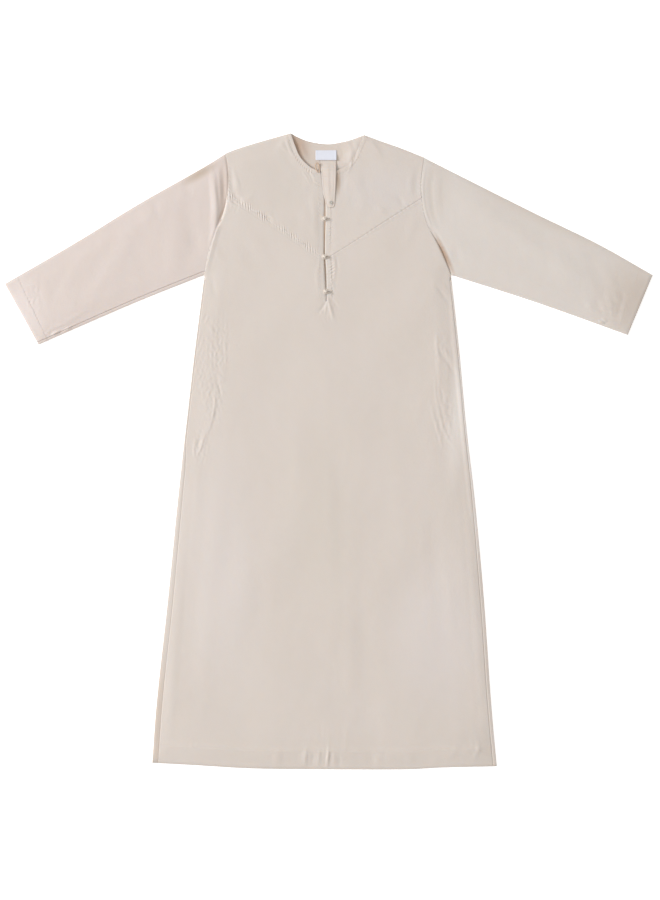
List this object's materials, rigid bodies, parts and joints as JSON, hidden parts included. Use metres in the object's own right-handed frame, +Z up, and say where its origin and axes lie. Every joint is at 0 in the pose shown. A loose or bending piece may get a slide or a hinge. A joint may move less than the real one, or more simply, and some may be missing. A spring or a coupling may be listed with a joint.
{
  "type": "thobe robe",
  "caption": "Long collarless cotton robe laid flat, with straight sleeves, a V yoke seam, a short front opening with ball buttons and a neck tab.",
  "frame": {"origin": "centre of the robe's bounding box, at its base, where the back rests", "axes": "+Z up out of the front, +Y towards the neck, +X towards the right of the picture, which is the robe's own left"},
  "size_m": [1.4894, 1.462, 0.0151],
  "materials": {
    "body_cloth": "smooth ironed light cotton blend in pale champagne beige, with a faint satin sheen",
    "sleeve_cloth": "the same cotton blend, a little lighter on the sleeves",
    "pocket_cloth": "plain cotton pocketing",
    "label_cloth": "woven satin label tape, bluish white and bare",
    "button": "small pale button with a slight gloss",
    "button_cloth": "knotted cloth cord"
  },
  "bodies": {
    "root": {"back_panel": "body_cloth", "front_panel": "body_cloth", "yoke_left": "body_cloth", "yoke_right": "body_cloth", "sleeve_left": "sleeve_cloth", "sleeve_right": "sleeve_cloth", "placket_left": "body_cloth", "placket_right": "body_cloth", "pocket_bag_left": "pocket_cloth", "pocket_bag_right": "pocket_cloth", "neck_tab": "body_cloth", "neck_loop": "body_cloth", "neck_label": "label_cloth", "tab_button": "button", "ball_button_1": "button_cloth", "ball_button_2": "button_cloth", "ball_button_3": "button_cloth", "button_loop_1": "button_cloth", "button_loop_2": "button_cloth", "button_loop_3": "button_cloth"}
  },
  "joints": []
}
